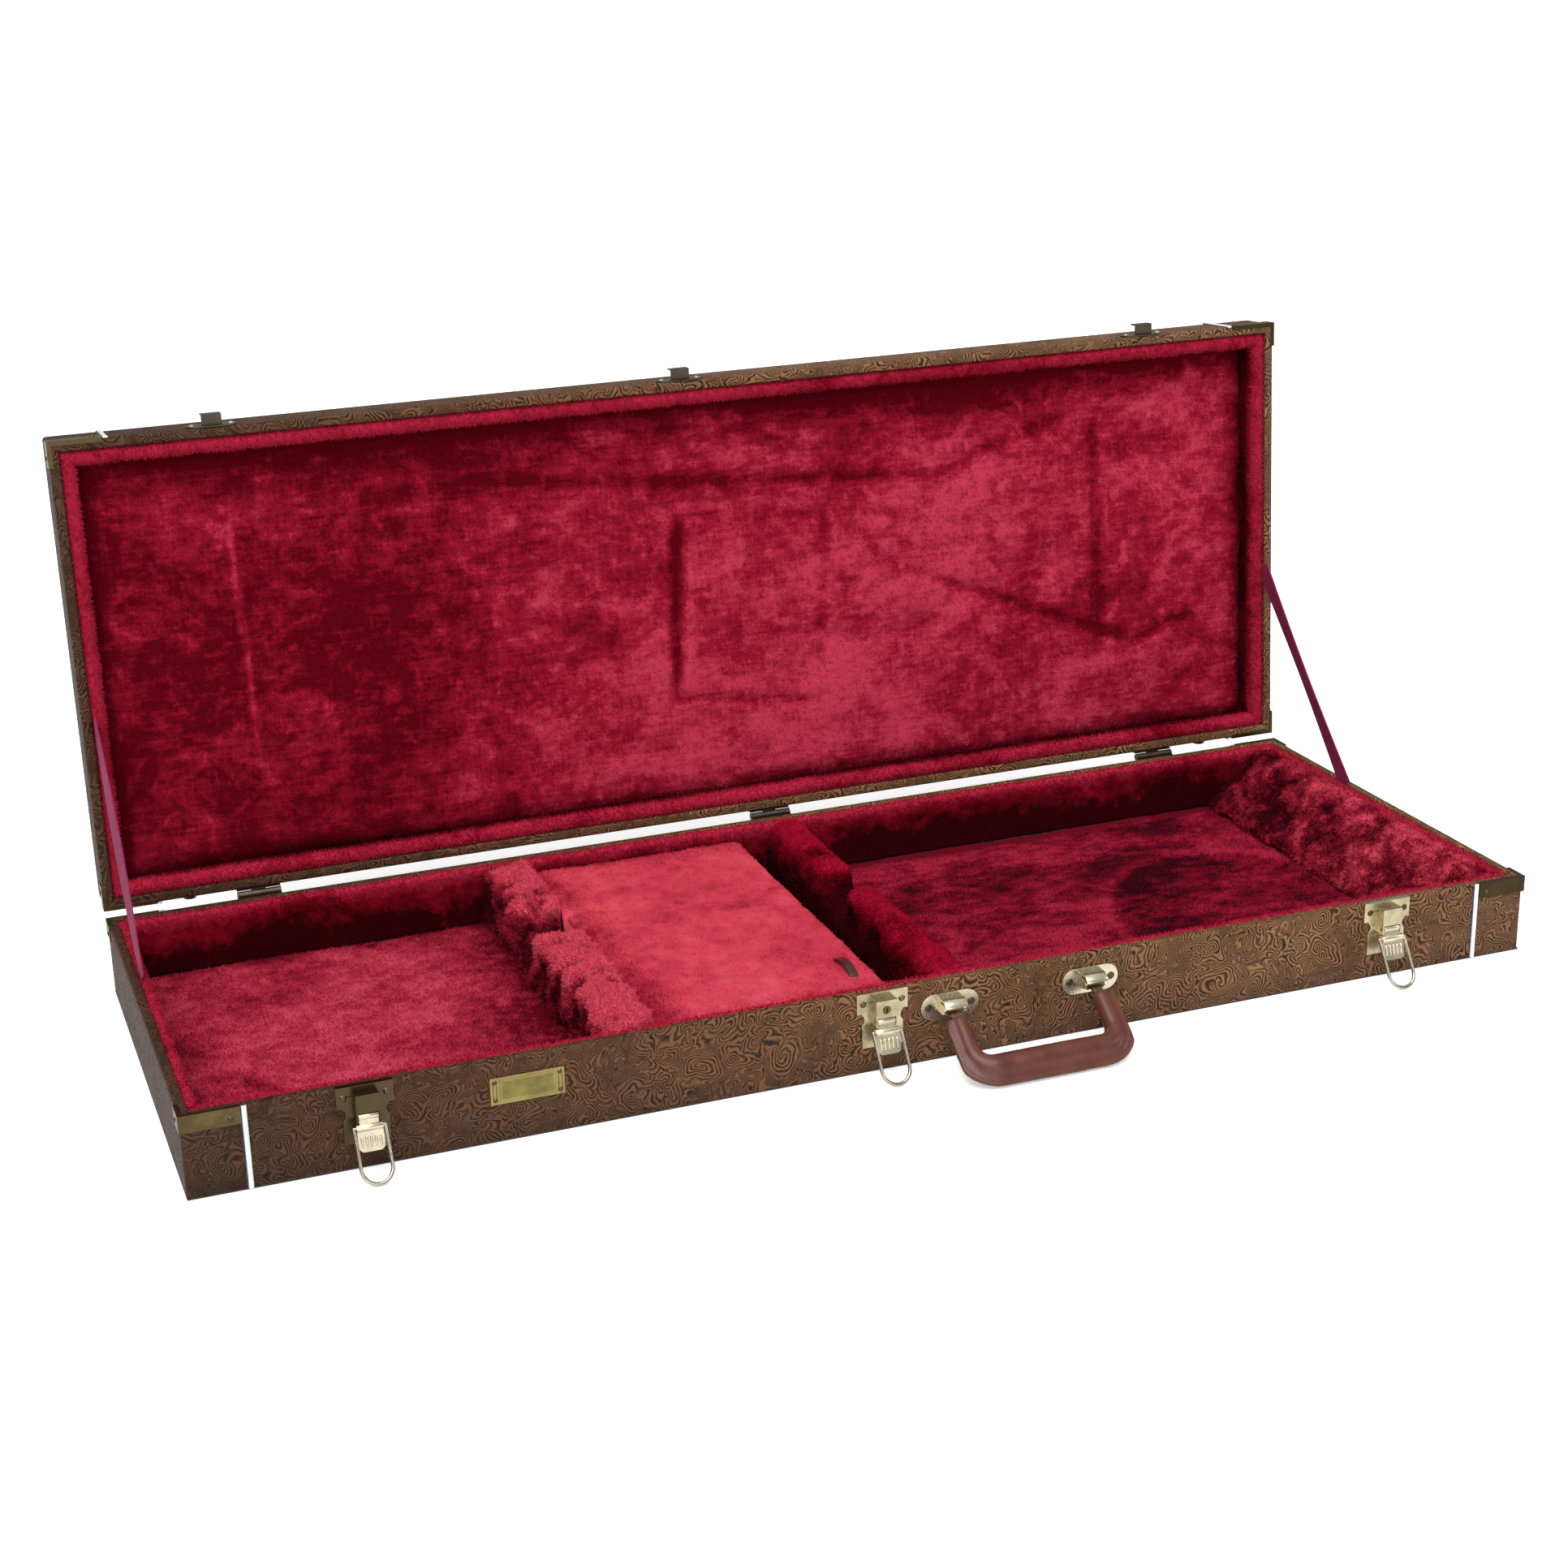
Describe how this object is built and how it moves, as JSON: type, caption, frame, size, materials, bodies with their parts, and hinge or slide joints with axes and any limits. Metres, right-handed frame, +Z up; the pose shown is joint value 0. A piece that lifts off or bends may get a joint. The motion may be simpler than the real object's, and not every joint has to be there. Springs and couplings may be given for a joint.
{
  "type": "guitar case",
  "caption": "Rectangular hard-shell guitar case with hinged lid, draw latches, carrying handle and plush compartments.",
  "frame": {"origin": "centre of the base's bottom face, on the surface that the case stands on", "axes": "+X along the case towards the body end, -Y towards the latches and handle, +Z up"},
  "size_m": [1.0838, 0.5244, 0.4576],
  "materials": {
    "plywood": "raw plywood",
    "tooled_vinyl": "embossed scroll-pattern vinyl",
    "plush": "crushed plush",
    "flap_plush": "smooth plush",
    "brass": "polished, lightly worn",
    "antique_brass": "antiqued",
    "name_brass": "satin",
    "steel": "plain",
    "handle_leather": "smooth satin leather",
    "piping_white": "glossy",
    "ribbon": "woven ribbon"
  },
  "bodies": {
    "base": {"base_front_wall": "plywood", "base_back_wall": "plywood", "base_left_wall": "plywood", "base_right_wall": "plywood", "base_bottom_panel": "plywood", "base_covering": "tooled_vinyl", "base_bottom_sheet": "tooled_vinyl", "base_piping": "piping_white", "base_side_lining": "plush", "base_floor_lining": "plush", "left_neck_cradle": "plush", "right_neck_cradle": "plush", "compartment_divider": "plush", "body_floor_pad": "plush", "end_pad": "plush", "base_corner_brackets": "antique_brass", "base_bracket_nails": "antique_brass", "latch_plates": "brass", "latch_housings": "brass", "lever_pins": "antique_brass", "base_rivets": "brass", "name_plate": "name_brass", "name_plate_pins": "antique_brass", "handle_end_plates": "brass", "handle_plate_screws": "antique_brass", "hinge_base_leaves": "antique_brass", "hinge_pins": "antique_brass", "base_spine_feet": "antique_brass", "left_stay_strap": "ribbon", "right_stay_strap": "ribbon"},
    "lid": {"lid_front_wall": "plywood", "lid_back_wall": "plywood", "lid_left_wall": "plywood", "lid_right_wall": "plywood", "lid_top_panel": "plywood", "lid_covering": "tooled_vinyl", "lid_piping": "piping_white", "lid_side_lining": "plush", "lid_panel_pad": "plush", "lid_corner_brackets": "antique_brass", "lid_bracket_nails": "antique_brass", "catch_plates": "brass", "catch_hooks": "antique_brass", "lid_rivets": "brass", "hinge_lid_leaves": "antique_brass", "lid_spine_feet": "antique_brass"},
    "flap": {"compartment_flap": "flap_plush", "flap_pull_tab": "handle_leather"},
    "lock": {"lock_core": "antique_brass"},
    "handle": {"handle_core": "steel", "handle_grip": "handle_leather"},
    "lever_left": {"latch_lever_left": "brass"},
    "bail_left": {"latch_bail_left": "brass"},
    "lever_middle": {"latch_lever_middle": "brass"},
    "bail_middle": {"latch_bail_middle": "brass"},
    "lever_right": {"latch_lever_right": "brass"},
    "bail_right": {"latch_bail_right": "brass"}
  },
  "joints": [
    {"name": "lid_hinge", "type": "hinge", "parent": "base", "child": "lid", "pos_m": [0, 0.1945, 0.0645], "axis": [-1, 0, 0], "range_deg": [-94, 0], "deforming": ["left_stay_strap", "right_stay_strap"]},
    {"name": "lever_left_turn", "type": "hinge", "parent": "base", "child": "lever_left", "pos_m": [-0.412, -0.197, 0.043], "axis": [1, 0, 0], "range_deg": [-100, 0]},
    {"name": "bail_left_swing", "type": "hinge", "parent": "lever_left", "child": "bail_left", "pos_m": [-0.412, -0.19947, 0.03539], "axis": [-1, 0, 0], "range_deg": [0, 160]},
    {"name": "lever_middle_turn", "type": "hinge", "parent": "base", "child": "lever_middle", "pos_m": [-0.022, -0.197, 0.043], "axis": [1, 0, 0], "range_deg": [-100, 0]},
    {"name": "bail_middle_swing", "type": "hinge", "parent": "lever_middle", "child": "bail_middle", "pos_m": [-0.022, -0.19947, 0.03539], "axis": [-1, 0, 0], "range_deg": [0, 160]},
    {"name": "lever_right_turn", "type": "hinge", "parent": "base", "child": "lever_right", "pos_m": [0.412, -0.197, 0.043], "axis": [1, 0, 0], "range_deg": [-100, 0]},
    {"name": "bail_right_swing", "type": "hinge", "parent": "lever_right", "child": "bail_right", "pos_m": [0.412, -0.19947, 0.03539], "axis": [-1, 0, 0], "range_deg": [0, 160]},
    {"name": "lock_turn", "type": "hinge", "parent": "base", "child": "lock", "pos_m": [-0.022, -0.195, 0.0525], "axis": [0, 1, 0], "range_deg": [0, 90]},
    {"name": "handle_swing", "type": "hinge", "parent": "base", "child": "handle", "pos_m": [0.091, -0.1975, 0.0435], "axis": [-1, 0, 0], "range_deg": [0, 40]},
    {"name": "flap_hinge", "type": "hinge", "parent": "base", "child": "flap", "pos_m": [-0.188, 0, 0.052], "axis": [0, -1, 0], "range_deg": [0, 95]}
  ]
}
